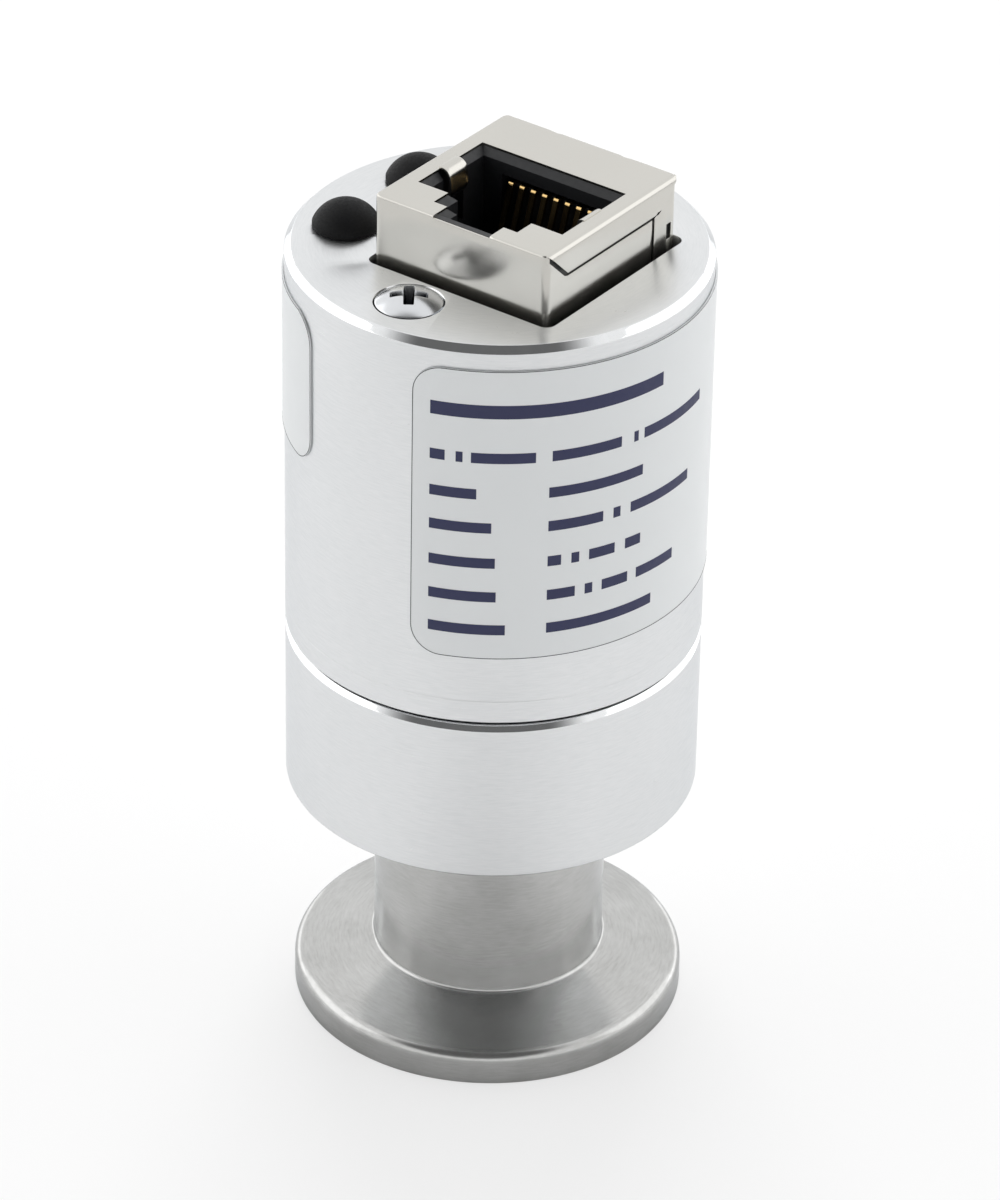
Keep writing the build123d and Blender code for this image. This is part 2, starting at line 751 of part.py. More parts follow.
# Contact wires: up the carrier's back, over its top and down into the cavity
wire_back = carrier_back + contact_thickness / 2
wire_front = carrier_back - carrier_depth - contact_thickness
for i, x in enumerate(contact_places, start=1):
    with BuildPart() as contact:
        with BuildSketch(Plane.YZ.offset(x)):
            with BuildLine():
                FilletPolyline(
                    (wire_back, jack_board_bottom - contact_tail),
                    (wire_back, contact_top),
                    (wire_front, contact_top),
                    (wire_front - contact_lean, contact_top - contact_length),
                    radius=contact_thickness * 0.8,
                )
            trace(line_width=contact_thickness)
        extrude(amount=contact_width / 2, both=True)
    save(contact, f"jack_contact_{i}")

# Foil labels, bent round the cap
label_runs = {
    "label_main": (
        main_label_start_angle,
        main_label_sweep_angle,
        cap_top - main_label_top_gap - main_label_height,
        main_label_height,
    ),
    "label_side": (
        side_label_end_angle - side_label_sweep_angle,
        side_label_sweep_angle,
        cap_top - side_label_top_gap - side_label_height,
        side_label_height,
    ),
}
for name, (start, sweep_angle, foot, height) in label_runs.items():
    with BuildPart() as label:
        with BuildSketch(Plane.XZ.rotated((0, 0, start))):
            with Locations((body_radius + label_glue, foot)):
                Rectangle(label_thickness, height, align=(Align.MIN, Align.MIN))
        revolve(axis=Axis.Z, revolution_arc=sweep_angle)
        for side, end in ((-1, start), (1, start + sweep_angle)):
            turn = radians(end) - side * label_corner / body_radius
            for rise in (-1, 1):
                centre = foot + height / 2 + rise * (height / 2 - label_corner)
                with BuildSketch(Plane(
                    origin=(body_radius * cos(turn), body_radius * sin(turn), centre),
                    x_dir=(-sin(turn), cos(turn), 0),
                    z_dir=(cos(turn), sin(turn), 0),
                )):
                    across = Align.MIN if side > 0 else Align.MAX
                    along = Align.MIN if rise > 0 else Align.MAX
                    Rectangle(1.1 * label_corner, 1.1 * label_corner, align=(across, along))
                    Circle(label_corner, mode=Mode.SUBTRACT)
                extrude(amount=4 * label_thickness, both=True, mode=Mode.SUBTRACT)
    save(label, name)
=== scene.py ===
import math

import bmesh
import bpy
import numpy as np
from mathutils import Matrix, Vector


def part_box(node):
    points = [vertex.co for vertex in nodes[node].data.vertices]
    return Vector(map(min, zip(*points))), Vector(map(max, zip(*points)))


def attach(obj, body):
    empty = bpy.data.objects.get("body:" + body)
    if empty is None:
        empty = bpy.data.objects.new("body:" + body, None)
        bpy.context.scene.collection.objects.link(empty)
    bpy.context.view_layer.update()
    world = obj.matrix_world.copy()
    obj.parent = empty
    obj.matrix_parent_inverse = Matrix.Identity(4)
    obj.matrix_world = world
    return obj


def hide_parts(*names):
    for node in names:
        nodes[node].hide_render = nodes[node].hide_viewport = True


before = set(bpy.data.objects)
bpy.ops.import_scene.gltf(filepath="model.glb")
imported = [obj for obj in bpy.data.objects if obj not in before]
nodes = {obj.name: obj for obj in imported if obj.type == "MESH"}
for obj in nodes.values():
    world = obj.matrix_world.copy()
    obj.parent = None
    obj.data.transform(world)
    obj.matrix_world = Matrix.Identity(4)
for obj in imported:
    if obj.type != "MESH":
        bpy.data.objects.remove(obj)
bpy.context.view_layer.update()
print("frame loaded,", len(nodes), "nodes")

mm = 0.001  # every size below is in millimetres
bodyRadius = 15.657  # of base ring and cap
groove = {"bottom": 32.45, "top": 33.25, "chamfer": 0.38}  # between base ring and cap


def toLinear(hexColour):  # sRGB hex to linear: v / 12.92 up to 0.04045, else ((v + 0.055) / 1.055) ^ 2.4
    v = np.array([int(hexColour[i:i + 2], 16) for i in (1, 3, 5)]) / 255
    return (*np.where(v <= 0.04045, v / 12.92, ((v + 0.055) / 1.055) ** 2.4), 1.0)


def addNode(tree, kind, settings=None, inputs=None):  # one node, its settings, and values or links for its inputs
    node = tree.nodes.new(kind)
    for key, value in (settings or {}).items():
        setattr(node, key, value)
    for key, value in (inputs or {}).items():
        if isinstance(value, bpy.types.NodeSocket):
            tree.links.new(value, node.inputs[key])
        else:
            node.inputs[key].default_value = value
    return node


def newMaterial(name):
    material = bpy.data.materials.new(name)
    material.use_nodes = True
    material.node_tree.nodes.clear()
    return material, material.node_tree


def unit(v):
    return v / np.maximum(np.linalg.norm(v, axis=-1, keepdims=True), 1e-12)


# Every corner becomes an arc of radius r that touches both its sides. It starts r * tan(turn / 2) before
# the corner, and after an angle a it is r * sin(a) further on and r * (1 - cos(a)) to the inside.
def roundCorners(corners, radii, steps=6, closed=True):
    p = np.array(corners, float)
    r = np.broadcast_to(np.array(radii, float), len(p)).copy()
    if not closed:
        r[[0, -1]] = 0
    ahead = unit(np.roll(p, -1, 0) - p)
    before = unit(p - np.roll(p, 1, 0))
    turn = np.arctan2(before[:, 0] * ahead[:, 1] - before[:, 1] * ahead[:, 0], (before * ahead).sum(1))
    side = np.sign(turn)[:, None] * np.stack([-before[:, 1], before[:, 0]], 1)
    start = p - before * (r * np.tan(np.abs(turn) / 2))[:, None]
    a = np.abs(turn)[:, None] * np.linspace(0, 1, steps)
    arc = start[:, None] + r[:, None, None] * (
        np.sin(a)[..., None] * before[:, None] + (1 - np.cos(a))[..., None] * side[:, None])
    arc = np.where(r[:, None, None] > 0, arc, p[:, None]).reshape(-1, 2)
    keep = np.linalg.norm(arc - np.roll(arc, 1, 0), axis=1) > 1e-6
    keep[0] = True
    return arc[keep]


# Quad (i, j) joins the grid's points (i, j), (i + 1, j), (i + 1, j + 1) and (i, j + 1)
def gridFaces(across, along, wrapAcross=False, wrapAlong=False):
    i = np.arange(across if wrapAcross else across - 1)
    j = np.arange(along if wrapAlong else along - 1)
    i, j = (a.ravel() for a in np.meshgrid(i, j, indexing="ij"))
    iNext, jNext = (i + 1) % across, (j + 1) % along
    return np.stack([i * along + j, iNext * along + j, iNext * along + jNext, i * along + jNext], 1)


# Two more points near the ends of every long side, so that smooth shading turns only beside the corners
def steadyLongSides(outline, gap=0.12):
    side = np.roll(outline, -1, 0) - outline
    length = np.linalg.norm(side, axis=1, keepdims=True)
    step = side * np.minimum(gap / length, 0.5)
    points = np.stack([outline, outline + step, outline + side - step], 1)
    longSide = np.repeat(length > 4 * gap, 3, 1)
    longSide[:, 0] = True
    return points[longSide]


# Surface of revolution: point(angle, step) = (x0 + r * cos(angle), y0 + r * sin(angle), z) along a closed outline
def turnedSurface(outline, place=(0, 0), count=256):
    angle = np.linspace(0, 2 * np.pi, count, endpoint=False)[:, None]
    r, z = outline[:, 0], outline[:, 1]
    points = np.stack([place[0] + r * np.cos(angle), place[1] + r * np.sin(angle), z + 0 * angle], -1)
    return points.reshape(-1, 3), gridFaces(count, len(outline), True, True).tolist()


def turnedProfile(corners):  # rows of (radius, height, corner radius) round the section of a turned piece
    section = np.array(corners)
    return turnedSurface(steadyLongSides(roundCorners(section[:, :2], section[:, 2])))


# Straight sides between outlines at several heights, and a flat face at each end
def stackedSurface(outlines, heights):
    points = np.stack([np.column_stack([o, np.full(len(o), z)]) for o, z in zip(outlines, heights)], 1)
    count, along = points.shape[:2]
    faces = gridFaces(count, along, True).tolist()
    faces.append([i * along for i in reversed(range(count))])
    faces.append([i * along + along - 1 for i in range(count)])
    return points.reshape(-1, 3), faces


def makeObject(name, surface):  # mesh object from points in mm and faces, with doubled points merged
    points, faces = surface
    mesh = bpy.data.meshes.new(name)
    mesh.from_pydata((np.asarray(points) * mm).tolist(), [], faces)
    bm = bmesh.new()
    bm.from_mesh(mesh)
    bmesh.ops.remove_doubles(bm, verts=bm.verts, dist=1e-7)
    bmesh.ops.dissolve_degenerate(bm, edges=bm.edges, dist=1e-8)
    bm.to_mesh(mesh)
    bm.free()
    made = bpy.data.objects.new(name, mesh)
    bpy.context.scene.collection.objects.link(made)
    return made


def applyModifiers(piece):  # the modifiers' result becomes the piece's own mesh
    bpy.context.view_layer.update()
    mesh = bpy.data.meshes.new_from_object(piece.evaluated_get(bpy.context.evaluated_depsgraph_get()))
    piece.modifiers.clear()
    piece.data = mesh


# Cuts, modifiers, smooth shading with sharp edges over an angle, material and body of one piece
def makePiece(name, surface, material, hides=(), cutters=(), modifiers=(), sharpAngle=32, body="housing"):
    piece = makeObject(name, surface)
    for i, cutter in enumerate(cutters):
        tool = makeObject(f"{name}Cutter{i}", cutter)
        cut = piece.modifiers.new(tool.name, "BOOLEAN")
        cut.operation, cut.solver, cut.object = "DIFFERENCE", "EXACT", tool
        applyModifiers(piece)
        bpy.data.objects.remove(tool)
    for kind, settings in modifiers:
        modifier = piece.modifiers.new(kind, kind)
        for key, value in settings.items():
            setattr(modifier, key, value)
    applyModifiers(piece)
    piece.data.name = name
    piece.data.shade_smooth()
    piece.data.set_sharp_from_angle(angle=math.radians(sharpAngle))
    piece.data.materials.clear()
    piece.data.materials.append(material)
    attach(piece, body)
    if hides:
        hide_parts(*hides)
    return piece


def bevel(width, fromAngle):  # rounds the edges that turn by more than an angle
    return ("BEVEL", {"width": width * mm, "segments": 2, "limit_method": "ANGLE",
                      "angle_limit": math.radians(fromAngle)})


# Turning marks: noise over (x, y, z + distance from the axis). The last part has the fine pitch, so that marks run
# round the axis on walls and on flat faces, and the first two break them off after a few millimetres
def addTurning(tree, pitch, markLength):
    coords = addNode(tree, "ShaderNodeTexCoord").outputs["Object"]
    split = addNode(tree, "ShaderNodeSeparateXYZ", inputs={0: coords})
    flat = addNode(tree, "ShaderNodeVectorMath", {"operation": "MULTIPLY"}, {0: coords, 1: (1, 1, 0)}).outputs[0]
    radius = addNode(tree, "ShaderNodeVectorMath", {"operation": "LENGTH"}, {0: flat}).outputs["Value"]
    profile = addNode(tree, "ShaderNodeMath", {"operation": "ADD"}, {0: split.outputs["Z"], 1: radius}).outputs[0]
    fine = addNode(tree, "ShaderNodeMath", {"operation": "DIVIDE"}, {0: profile, 1: pitch * mm}).outputs[0]
    along = addNode(tree, "ShaderNodeVectorMath", {"operation": "SCALE"}, {0: flat, "Scale": 1 / (markLength * mm)})
    place = addNode(tree, "ShaderNodeCombineXYZ", inputs={"Z": fine}).outputs[0]
    place = addNode(tree, "ShaderNodeVectorMath", {"operation": "ADD"}, {0: along.outputs[0], 1: place}).outputs[0]
    noise = addNode(tree, "ShaderNodeTexNoise", inputs={
        "Vector": place, "Scale": 1.0, "Detail": 3.0, "Roughness": 0.6})
    around = addNode(tree, "ShaderNodeVectorMath", {"operation": "CROSS_PRODUCT"}, {0: (0, 0, 1), 1: coords})
    return coords, noise.outputs[0], around.outputs["Vector"]


# Roughness of a turned face: from smooth to dull in the marks, and much smoother where a shaped tool cut it, on a
# chamfer and in the groove. A chamfer is where z^2 * (1 - z^2) of the normal is large, which peaks at 45 degrees
def addTurnedRoughness(tree, rings, smooth, dull, chamfer):
    normal = addNode(tree, "ShaderNodeNewGeometry").outputs["True Normal"]
    rise = addNode(tree, "ShaderNodeSeparateXYZ", inputs={0: normal}).outputs["Z"]
    square = addNode(tree, "ShaderNodeMath", {"operation": "MULTIPLY"}, {0: rise, 1: rise}).outputs[0]
    level = addNode(tree, "ShaderNodeMath", {"operation": "SUBTRACT"}, {0: 1.0, 1: square}).outputs[0]
    lean = addNode(tree, "ShaderNodeMath", {"operation": "MULTIPLY"}, {0: square, 1: level}).outputs[0]
    share = addNode(tree, "ShaderNodeMapRange", inputs={"Value": lean, "From Min": 0.12, "From Max": 0.22}).outputs[0]
    place = addNode(tree, "ShaderNodeTexCoord").outputs["Object"]
    height = addNode(tree, "ShaderNodeSeparateXYZ", inputs={0: place}).outputs["Z"]
    low, high = groove["bottom"] * mm, groove["top"] * mm
    inside = addNode(tree, "ShaderNodeMath", {"operation": "COMPARE"}, {
        0: height, 1: (low + high) / 2, 2: (high - low) / 2})
    share = addNode(tree, "ShaderNodeMath", {"operation": "MAXIMUM"}, {0: share, 1: inside.outputs[0]}).outputs[0]
    satin = addNode(tree, "ShaderNodeMapRange", inputs={"Value": rings, "To Min": smooth, "To Max": dull}).outputs[0]
    return addNode(tree, "ShaderNodeMix", {"data_type": "FLOAT"}, {
        "Factor": share, "A": satin, "B": chamfer}).outputs[0]


# Turned finishes, with sizes in mm. The aluminium alloy is satin, pale and cool. The stainless steel is darker and
# smoother, so what it mirrors is sharper. Both get a little darker at a grazing angle than polished metal does
turnedFinishes = {
    "turnedAluminium": {"colour": "#E7E8E9", "dull": "#DEE0E1", "roughness": (0.22, 0.42), "chamfer": 0.07,
                        "pitch": 0.11, "markLength": 1.2, "markDepth": 0.004, "patch": 9.0, "cloudShare": 0.3},
    "turnedStainless": {"colour": "#C9C9C8", "dull": "#B3B3B1", "roughness": (0.12, 0.25), "chamfer": 0.2,
                        "pitch": 0.12, "markLength": 1.1, "markDepth": 0.003, "patch": 3.0, "cloudShare": 0.45},
}
edgeTint = (0.82, 0.83, 0.84, 1)
materials = {}
for name, finish in turnedFinishes.items():
    material, tree = newMaterial(name)
    coords, rings, around = addTurning(tree, finish["pitch"], finish["markLength"])
    patches = addNode(tree, "ShaderNodeTexNoise", inputs={
        "Vector": coords, "Scale": 1 / (finish["patch"] * mm), "Detail": 3.0})
    shade = addNode(tree, "ShaderNodeMix", {"data_type": "FLOAT"}, {
        "Factor": finish["cloudShare"], "A": rings, "B": patches.outputs[0]}).outputs[0]
    shade = addNode(tree, "ShaderNodeMapRange", inputs={"Value": shade, "From Min": 0.3, "From Max": 0.7}).outputs[0]
    tint = addNode(tree, "ShaderNodeMix", {"data_type": "RGBA"}, {
        "Factor": shade, "A": toLinear(finish["colour"]), "B": toLinear(finish["dull"])})
    roughness = addTurnedRoughness(tree, rings, *finish["roughness"], finish["chamfer"])
    marks = addNode(tree, "ShaderNodeBump", inputs={
        "Strength": 0.5, "Distance": finish["markDepth"] * mm, "Height": rings})
    shader = addNode(tree, "ShaderNodeBsdfPrincipled", inputs={
        "Base Color": tint.outputs["Result"], "Metallic": 1.0, "Roughness": roughness, "Specular Tint": edgeTint,
        "Anisotropic": 0.6, "Anisotropic Rotation": 0.25, "Normal": marks.outputs["Normal"], "Tangent": around})
    addNode(tree, "ShaderNodeOutputMaterial", inputs={"Surface": shader.outputs[0]})
    materials[name] = material

# Plain finishes: colour and a second tone in patches, metallic, roughness range, grain size and its height in mm
plainFinishes = {
    "tinnedSteel": ("#D1CFC9", "#C7C5BF", 1.0, (0.16, 0.24), 3.5, 0.002),  # tin on sheet steel, warm and semi-bright
    "nickelPlate": ("#DEE0E2", "#D0D2D5", 1.0, (0.20, 0.28), 1.5, 0.002),  # bright plating on a pressed screw
    "drawnTungsten": ("#8A8A90", "#7A7A80", 1.0, (0.25, 0.35), 0.5, 0.001),  # grey drawn wire
    "turnedBrass": ("#C8A86A", "#B99A5E", 1.0, (0.22, 0.32), 0.6, 0.002),  # yellow, freshly turned
    "goldFlash": ("#E3C288", "#D5B377", 1.0, (0.06, 0.12), 0.8, 0.001),  # thin gold over phosphor bronze
    "blackMoulding": ("#191A1C", "#202124", 0.0, (0.38, 0.52), 0.35, 0.006),  # glass-filled polyester
    "plugRubber": ("#050506", "#0B0C0E", 0.0, (0.50, 0.70), 0.16, 0.020),  # silicone, finely grained
    "blueMoulding": ("#1B4C9C", "#164287", 0.0, (0.30, 0.42), 0.4, 0.004),  # trimmer case
    "whiteMoulding": ("#E9E6DC", "#DEDBD0", 0.0, (0.40, 0.52), 0.4, 0.004),  # trimmer rotor
    "solderMask": ("#0F5132", "#0C4429", 0.0, (0.22, 0.34), 0.5, 0.004),  # green lacquer over glass weave
    "metalFoil": ("#E2E4E5", "#DDE0E1", 0.3, (0.40, 0.50), 4.0, 0.002),  # silver polyester foil under a matt film
    "navyInk": ("#20244A", "#262A52", 0.0, (0.45, 0.55), 0.6, 0.001),  # thermal transfer print
    "labelEdgeGrey": ("#2E3235", "#373B3E", 0.0, (0.45, 0.55), 0.6, 0.001),  # fine border line
}
for name, (colour, second, metallic, roughness, grain, height) in plainFinishes.items():
    material, tree = newMaterial(name)
    coords = addNode(tree, "ShaderNodeTexCoord").outputs["Object"]
    speckle = addNode(tree, "ShaderNodeTexNoise", inputs={
        "Vector": coords, "Scale": 1 / (grain * mm), "Detail": 4.0})
    clouds = addNode(tree, "ShaderNodeTexNoise", inputs={
        "Vector": coords, "Scale": 0.2 / (grain * mm), "Detail": 2.0})
    tint = addNode(tree, "ShaderNodeMix", {"data_type": "RGBA"}, {
        "Factor": clouds.outputs[0], "A": toLinear(colour), "B": toLinear(second)})
    gloss = addNode(tree, "ShaderNodeMapRange", inputs={
        "Value": speckle.outputs[0], "From Min": 0.3, "From Max": 0.7,
        "To Min": roughness[0], "To Max": roughness[1]})
    bump = addNode(tree, "ShaderNodeBump", inputs={
        "Strength": 0.6, "Distance": height * mm, "Height": speckle.outputs[0]})
    shader = addNode(tree, "ShaderNodeBsdfPrincipled", inputs={
        "Base Color": tint.outputs["Result"], "Metallic": metallic, "Roughness": gloss.outputs["Result"],
        "Normal": bump.outputs["Normal"]})
    if name == "plugRubber":  # dusty skin, hardly any sheen
        shader.inputs["Specular IOR Level"].default_value = 0.22
    addNode(tree, "ShaderNodeOutputMaterial", inputs={"Surface": shader.outputs[0]})
    materials[name] = material

# Plated screw: like the nickel, with painted shade in its recess: the colour darkens where the surface is shut in
screwSteel = materials["nickelPlate"].copy()
screwSteel.name = "screwSteel"
tree = screwSteel.node_tree
shader = next(n for n in tree.nodes if n.type == "BSDF_PRINCIPLED")
plateColour = shader.inputs["Base Color"].links[0].from_socket
shut = addNode(tree, "ShaderNodeAmbientOcclusion", {"samples": 8, "only_local": True}, {"Distance": 1.2 * mm})
openShare = addNode(tree, "ShaderNodeMapRange", inputs={
    "Value": shut.outputs["AO"], "From Min": 0.5, "From Max": 0.9})
# painted shade: the colour goes over to dark grey where ambient occlusion finds the surface shut in
paintedShade = addNode(tree, "ShaderNodeMix", {"data_type": "RGBA"}, {
    "Factor": openShare.outputs[0], "A": toLinear("#2A2C30"), "B": plateColour})
tree.links.new(paintedShade.outputs["Result"], shader.inputs["Base Color"])
materials["screwSteel"] = screwSteel

# Sealing glass round the pins: dark green, clear, smooth
sealGlass, tree = newMaterial("sealGlass")
coords = addNode(tree, "ShaderNodeTexCoord").outputs["Object"]
swirl = addNode(tree, "ShaderNodeTexNoise", inputs={"Vector": coords, "Scale": 1 / (0.5 * mm), "Detail": 2.0})
tint = addNode(tree, "ShaderNodeMix", {"data_type": "RGBA"}, {
    "Factor": swirl.outputs[0], "A": toLinear("#2E4A44"), "B": toLinear("#3A5A52")})
shader = addNode(tree, "ShaderNodeBsdfPrincipled", inputs={
    "Base Color": tint.outputs["Result"], "Roughness": 0.08, "IOR": 1.52, "Transmission Weight": 0.6})
addNode(tree, "ShaderNodeOutputMaterial", inputs={"Surface": shader.outputs[0]})
materials["sealGlass"] = sealGlass
print("materials:", len(materials))

# CAD nodes that keep their own shape, and the finish that each kind gets
nodeFinishes = {
    "turnedStainless": ("sensor_header",),
    "turnedAluminium": ("filter_capacitor",),
    "nickelPlate": ("spacer_screw",),
    "turnedBrass": ("neck_nut", "screw_pillar", "lower_spacer", "upper_spacer"),
    "goldFlash": ("header_pin", "jack_contact"),
    "drawnTungsten": ("filament",),
    "sealGlass": ("header_glass", "temperature_sensor"),
    "blackMoulding": ("sensor_socket", "board_link", "amplifier_chip", "regulator", "contact_carrier", "jack_body"),
    "blueMoulding": ("trimmer_body",),
    "whiteMoulding": ("trimmer_rotor",),
    "solderMask": ("sensor_board", "jack_board"),
}
for finishName, kinds in nodeFinishes.items():
    for nodeName, node in nodes.items():
        if nodeName.startswith(kinds):
            node.data.materials.clear()
            node.data.materials.append(materials[finishName])

# Flange, neck and spigot: (radius, height, corner radius) round the section
flange = [
    (8.6, 0, 0.15), (15.0, 0, 0.1), (15.0, 2.5, 0.8), (8.85, 4.148, 0.3), (8.85, 19.6, 0), (7.4, 19.6, 0),
    (7.4, 27.1, 0.2), (6.2, 27.1, 0), (6.2, 25.6, 0), (5.2, 25.6, 0), (5.2, 21.7, 0.4), (7.5, 17.1, 0.4),
    (7.5, 2.9, 0.15), (8.6, 2.9, 0),
]
makePiece("flangeTurned", turnedProfile(flange), materials["turnedStainless"], hides=["flange"])

# Base ring with its register for the cap. The groove that shows is its broad top chamfer and the slot behind that
baseRing = [
    (7.45, 19.6, 0), (bodyRadius, 19.6, 0.2), (bodyRadius, groove["bottom"], 0.04),
    (bodyRadius - groove["chamfer"], groove["bottom"] + groove["chamfer"], 0.03),
    (15.2, groove["bottom"] + groove["chamfer"], 0), (15.2, 32.0, 0), (14.7, 32.0, 0), (14.7, groove["top"], 0),
    (14.107, groove["top"], 0), (14.107, 37.3, 0.15), (13.407, 37.3, 0), (13.407, 22.1, 0), (7.45, 22.1, 0),
]
makePiece("baseRingTurned", turnedProfile(baseRing), materials["turnedAluminium"], hides=["base_ring"])

# Cap. The tool line above its lower edge is a shallow groove, and the cut-out is x, y, width, length and corner
# radius. The section ends at the eye, a hole round the axis that the cut-out takes away
cap = {
    "radius": bodyRadius, "bore": 14.157, "bottom": groove["top"], "top": 64.7, "roof": 2.0, "chamfer": 0.5,
    "toolLine": 35.05, "lineDepth": 0.02, "lineHalf": 0.05,
    "cutout": (2.2, 0.15, 16.4, 16.9, 0.8), "plugHole": 1.6, "screwHole": 1.35, "sink": 2.6, "eye": 1.0, "spare": 1.0,
}
capProfile = [
    (cap["bore"], cap["bottom"], 0.1), (cap["radius"], cap["bottom"], 0.12),
    (cap["radius"], cap["toolLine"] - cap["lineHalf"], 0), (cap["radius"] - cap["lineDepth"], cap["toolLine"], 0),
    (cap["radius"], cap["toolLine"] + cap["lineHalf"], 0), (cap["radius"], cap["top"] - cap["chamfer"], 0.1),
    (cap["radius"] - cap["chamfer"], cap["top"], 0.1), (cap["eye"], cap["top"], 0),
    (cap["eye"], cap["top"] - cap["roof"], 0), (cap["bore"], cap["top"] - cap["roof"], 0.3),
]


def middle(nodeName):  # centre of a CAD node's box, seen from above
    low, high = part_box(nodeName)
    return (low.x + high.x) / 2 / mm, (low.y + high.y) / 2 / mm


def rectangle(x, y, width, length, radius, steps=8):  # outline of a rectangle with rounded corners
    corners = [(x - width / 2, y - length / 2), (x + width / 2, y - length / 2),
               (x + width / 2, y + length / 2), (x - width / 2, y + length / 2)]
    return roundCorners(corners, radius, steps)


under, over = cap["top"] - cap["roof"] - cap["spare"], cap["top"] + cap["spare"]  # the cutters reach past the roof
capCutters = [stackedSurface([rectangle(*cap["cutout"])] * 2, [under, over])]
for plug in ("plug_zero", "plug_span"):
    hole = np.array([(0, under), (cap["plugHole"], under), (cap["plugHole"], over), (0, over)])
    capCutters.append(turnedSurface(hole, middle(plug), count=48))
sinkFoot = cap["top"] - (cap["sink"] - cap["screwHole"])
sink = np.array([(0, under), (cap["screwHole"], under), (cap["screwHole"], sinkFoot), (cap["sink"], cap["top"]),
                 (cap["sink"] + cap["spare"], over), (0, over)])
capCutters.append(turnedSurface(sink, middle("cover_screw"), count=96))
makePiece("capTurned", turnedProfile(capProfile), materials["turnedAluminium"],
          hides=["housing_cap"], cutters=capCutters, modifiers=[bevel(0.04, 60)])
print("turned pieces done")


# Part of a ball over a rim of radius r and h high. The ball's radius is R = (r^2 + h^2) / (2 * h), and a point of the
# line is (R * sin(a), h - R * (1 - cos(a)))
def domeLine(rim, height, steps):
    ball = (rim ** 2 + height ** 2) / (2 * height)
    a = np.linspace(math.asin(rim / ball), 0, steps)
    return np.column_stack([ball * np.sin(a), height - ball * (1 - np.cos(a))])


# Rubber plugs: a domed head on a short skirt, a stem in the roof's hole and the bulb under it
plugShape = {"head": 2.5, "height": 2.0, "skirt": 0.35, "stem": 1.6, "bulb": 1.9, "tip": 1.1, "bulbDrop": 0.9}
dome = domeLine(plugShape["head"], plugShape["height"] - plugShape["skirt"], 20) + (0, plugShape["skirt"])
stem = roundCorners([
    (0, -cap["roof"] - plugShape["bulbDrop"]), (plugShape["tip"], -cap["roof"] - plugShape["bulbDrop"]),
    (plugShape["bulb"], -cap["roof"]), (plugShape["stem"], -cap["roof"]), (plugShape["stem"], 0),
    (plugShape["head"], 0), (plugShape["head"], plugShape["skirt"])], [0, 0.3, 0.1, 0, 0, 0.08, 0], closed=False)
for plug in ("zero", "span"):
    outline = np.vstack([stem, dome[1:]]) + (0, cap["top"])
    makePiece(f"rubberPlug_{plug}", turnedSurface(outline, middle(f"plug_{plug}"), count=96),
              materials["plugRubber"], hides=[f"plug_{plug}"], sharpAngle=50)

# Raised countersunk screw: the cross recess narrows as it goes down
screw = {"head": 2.46, "rise": 0.75, "shank": 1.25, "length": 7.0, "edge": 0.06, "arm": 0.8, "span": 2.9,
         "foot": 0.66, "flare": 1.05, "drop": 1.4, "over": 0.2, "turn": 36.0, "inner": 0.12, "outer": 0.1}
screwPlace = middle("cover_screw")
shank = np.array([(0, -screw["length"]), (screw["shank"], -screw["length"]),
                  (screw["shank"], screw["shank"] - screw["head"]), (screw["head"] - screw["edge"], -screw["edge"])])
outline = np.vstack([shank, domeLine(screw["head"], screw["rise"], 16)]) + (0, cap["top"])


def cross(arm, span, place, turn):  # outline of a turned cross with rounded corners
    a, s = arm / 2, span / 2
    corners = np.array([(a, a), (a, s), (-a, s), (-a, a), (-s, a), (-s, -a),
                        (-a, -a), (-a, -s), (a, -s), (a, -a), (s, -a), (s, a)])
    radii = np.tile([screw["inner"], screw["outer"], screw["outer"]], 4)
    c, s = math.cos(math.radians(turn)), math.sin(math.radians(turn))
    return roundCorners(corners, radii, 4) @ np.array([[c, s], [-s, c]]) + place


crossTop = cap["top"] + screw["rise"] + screw["over"]
crossFoot = cap["top"] + screw["rise"] - screw["drop"]
recess = stackedSurface([cross(screw["arm"] * size, screw["span"] * size, screwPlace, screw["turn"])
                         for size in (screw["foot"], screw["flare"])], [crossFoot, crossTop])
makePiece("coverScrewTurned", turnedSurface(outline, screwPlace, count=96), materials["screwSteel"],
          hides=["cover_screw"], cutters=[recess], modifiers=[bevel(0.03, 40)])
print("plugs and screw done")

# Folded shield. Walls and top are one sheet: across the grid it runs round the can, along the grid it goes up the
# wall, over the bend (d = r * sin(a), z = top - r * (1 - cos(a)) from the edge) and on to the mouth's edge.
can = {
    "x": 1.9, "y": 0.45, "width": 15.4, "length": 15.9, "foot": 56.2, "top": 69.85, "sheet": 0.2, "corner": 0.5,
    "bend": 0.22, "jackX": 2.0, "nickDepth": 0.14, "nickWidth": 0.35, "nicks": (-3.1, 3.1), "nickDrop": 0.6,
    "nickFade": 0.3, "rows": (60.0, 68.9), "step": 0.35, "closest": 0.02, "nearSide": 0.4, "onSide": 0.01,
}
# The last entry says where on the can's front edge the notch's and the step's corners have their matches
mouth = {"half": 6.4, "back": 3.2, "front": -4.55, "step": 3.7, "shelf": -6.25, "notch": 2.5,
         "onFront": (2.5, 3.1, 4.2, 5.2)}
seam = {"from": 4.9, "to": 5.2, "top": 67.75}
window = {"from": 6.725, "to": 7.285, "foot": 65.0, "top": 66.25}
